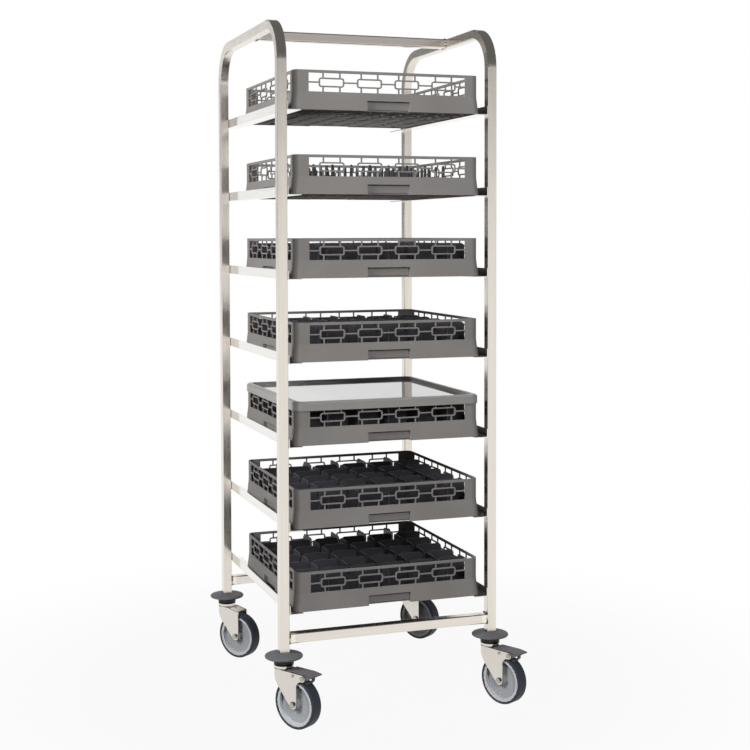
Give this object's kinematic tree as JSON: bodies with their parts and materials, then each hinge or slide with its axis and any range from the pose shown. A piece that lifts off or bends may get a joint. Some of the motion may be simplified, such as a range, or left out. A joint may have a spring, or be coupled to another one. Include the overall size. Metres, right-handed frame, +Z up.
{
  "type": "glass rack dolly",
  "caption": "Tall welded steel tube trolley on swivel castors with braked front wheels, carrying a column of slide-out glass racks with dividers, pegs and a lid.",
  "frame": {"origin": "on the floor, under the middle of the tube frame", "axes": "+Z up, -Y the way the racks are drawn out, +X to the right seen from the front"},
  "size_m": [0.6774, 0.7552, 1.7505],
  "materials": {
    "stainless_tube": "satin stainless steel tube",
    "stainless_sheet": "satin stainless steel sheet",
    "bumper_grey": "matt grey elastomer",
    "castor_steel": "pressed stainless steel, satin",
    "fastener_steel": "plain steel",
    "wheel_grey": "light grey moulded plastic",
    "tyre_grey": "smooth dark grey tread",
    "pedal_grey": "dark grey coating",
    "rack_grey": "grey moulded polypropylene",
    "divider_charcoal": "charcoal moulded plastic",
    "lid_grey": "grey plastic, glossy on the sunk panel"
  },
  "bodies": {
    "frame": {"left_side_frame": "stainless_tube", "right_side_frame": "stainless_tube", "top_crossbar": "stainless_tube", "front_bottom_crossbar": "stainless_tube", "rear_bottom_crossbar": "stainless_tube", "left_runner_1": "stainless_sheet", "left_runner_2": "stainless_sheet", "left_runner_3": "stainless_sheet", "left_runner_4": "stainless_sheet", "left_runner_5": "stainless_sheet", "left_runner_6": "stainless_sheet", "left_runner_7": "stainless_sheet", "right_runner_1": "stainless_sheet", "right_runner_2": "stainless_sheet", "right_runner_3": "stainless_sheet", "right_runner_4": "stainless_sheet", "right_runner_5": "stainless_sheet", "right_runner_6": "stainless_sheet", "right_runner_7": "stainless_sheet", "front_left_bumper": "bumper_grey", "front_left_swivel_head": "castor_steel", "front_right_bumper": "bumper_grey", "front_right_swivel_head": "castor_steel", "rear_left_bumper": "bumper_grey", "rear_left_swivel_head": "castor_steel", "rear_right_bumper": "bumper_grey", "rear_right_swivel_head": "castor_steel"},
    "rack_1": {"rack_1": "rack_grey"},
    "rack_2": {"rack_2": "rack_grey"},
    "rack_3": {"rack_3": "rack_grey", "divider_insert_3": "divider_charcoal"},
    "rack_4": {"rack_4": "rack_grey", "divider_insert_4": "divider_charcoal"},
    "rack_5": {"rack_5": "rack_grey", "divider_insert_5": "divider_charcoal"},
    "rack_6": {"rack_6": "rack_grey", "divider_insert_6": "divider_charcoal"},
    "rack_7": {"rack_7": "rack_grey", "divider_insert_7": "divider_charcoal"},
    "lid": {"rack_lid": "lid_grey"},
    "front_left_castor": {"front_left_fork": "castor_steel", "front_left_axle": "fastener_steel", "front_left_brake_pins": "fastener_steel"},
    "front_left_wheel": {"front_left_wheel_centre": "wheel_grey", "front_left_tyre": "tyre_grey"},
    "front_left_brake": {"front_left_brake_pedal": "pedal_grey"},
    "front_right_castor": {"front_right_fork": "castor_steel", "front_right_axle": "fastener_steel", "front_right_brake_pins": "fastener_steel"},
    "front_right_wheel": {"front_right_wheel_centre": "wheel_grey", "front_right_tyre": "tyre_grey"},
    "front_right_brake": {"front_right_brake_pedal": "pedal_grey"},
    "rear_left_castor": {"rear_left_fork": "castor_steel", "rear_left_axle": "fastener_steel"},
    "rear_left_wheel": {"rear_left_wheel_centre": "wheel_grey", "rear_left_tyre": "tyre_grey"},
    "rear_right_castor": {"rear_right_fork": "castor_steel", "rear_right_axle": "fastener_steel"},
    "rear_right_wheel": {"rear_right_wheel_centre": "wheel_grey", "rear_right_tyre": "tyre_grey"}
  },
  "joints": [
    {"name": "rack_1_slide", "type": "slide", "parent": "frame", "child": "rack_1", "axis": [0, -1, 0], "range_m": [-0.08, 0.46]},
    {"name": "rack_2_slide", "type": "slide", "parent": "frame", "child": "rack_2", "axis": [0, -1, 0], "range_m": [-0.08, 0.46]},
    {"name": "rack_3_slide", "type": "slide", "parent": "frame", "child": "rack_3", "axis": [0, -1, 0], "range_m": [-0.08, 0.46]},
    {"name": "rack_4_slide", "type": "slide", "parent": "frame", "child": "rack_4", "axis": [0, -1, 0], "range_m": [-0.08, 0.46]},
    {"name": "rack_5_slide", "type": "slide", "parent": "frame", "child": "rack_5", "axis": [0, -1, 0], "range_m": [-0.08, 0.46]},
    {"name": "rack_6_slide", "type": "slide", "parent": "frame", "child": "rack_6", "axis": [0, -1, 0], "range_m": [-0.08, 0.46]},
    {"name": "rack_7_slide", "type": "slide", "parent": "frame", "child": "rack_7", "axis": [0, -1, 0], "range_m": [-0.08, 0.46]},
    {"name": "lid_lift", "type": "slide", "parent": "rack_5", "child": "lid", "axis": [0, 0, 1], "range_m": [0, 0.06]},
    {"name": "front_left_swivel", "type": "hinge", "parent": "frame", "child": "front_left_castor", "pos_m": [-0.2795, -0.3025, 0.1415], "axis": [0, 0, 1], "continuous": true},
    {"name": "front_left_wheel_spin", "type": "hinge", "parent": "front_left_castor", "child": "front_left_wheel", "pos_m": [-0.25445, -0.34108, 0.0625], "axis": [0.8387, 0.5446, 0], "continuous": true},
    {"name": "front_left_brake_press", "type": "hinge", "parent": "front_left_castor", "child": "front_left_brake", "pos_m": [-0.23811, -0.36624, 0.1325], "axis": [0.8387, 0.5446, 0], "range_deg": [0, 12]},
    {"name": "front_right_swivel", "type": "hinge", "parent": "frame", "child": "front_right_castor", "pos_m": [0.2795, -0.3025, 0.1415], "axis": [0, 0, 1], "continuous": true},
    {"name": "front_right_wheel_spin", "type": "hinge", "parent": "front_right_castor", "child": "front_right_wheel", "pos_m": [0.30038, -0.34349, 0.0625], "axis": [0.891, 0.454, 0], "continuous": true},
    {"name": "front_right_brake_press", "type": "hinge", "parent": "front_right_castor", "child": "front_right_brake", "pos_m": [0.314, -0.37022, 0.1325], "axis": [0.891, 0.454, 0], "range_deg": [0, 12]},
    {"name": "rear_left_swivel", "type": "hinge", "parent": "frame", "child": "rear_left_castor", "pos_m": [-0.2795, 0.3025, 0.1415], "axis": [0, 0, 1], "continuous": true},
    {"name": "rear_left_wheel_spin", "type": "hinge", "parent": "rear_left_castor", "child": "rear_left_wheel", "pos_m": [-0.25182, 0.26576, 0.0625], "axis": [0.7986, 0.6018, 0], "continuous": true},
    {"name": "rear_right_swivel", "type": "hinge", "parent": "frame", "child": "rear_right_castor", "pos_m": [0.2795, 0.3025, 0.1415], "axis": [0, 0, 1], "continuous": true},
    {"name": "rear_right_wheel_spin", "type": "hinge", "parent": "rear_right_castor", "child": "rear_right_wheel", "pos_m": [0.30455, 0.26392, 0.0625], "axis": [0.8387, 0.5446, 0], "continuous": true}
  ]
}
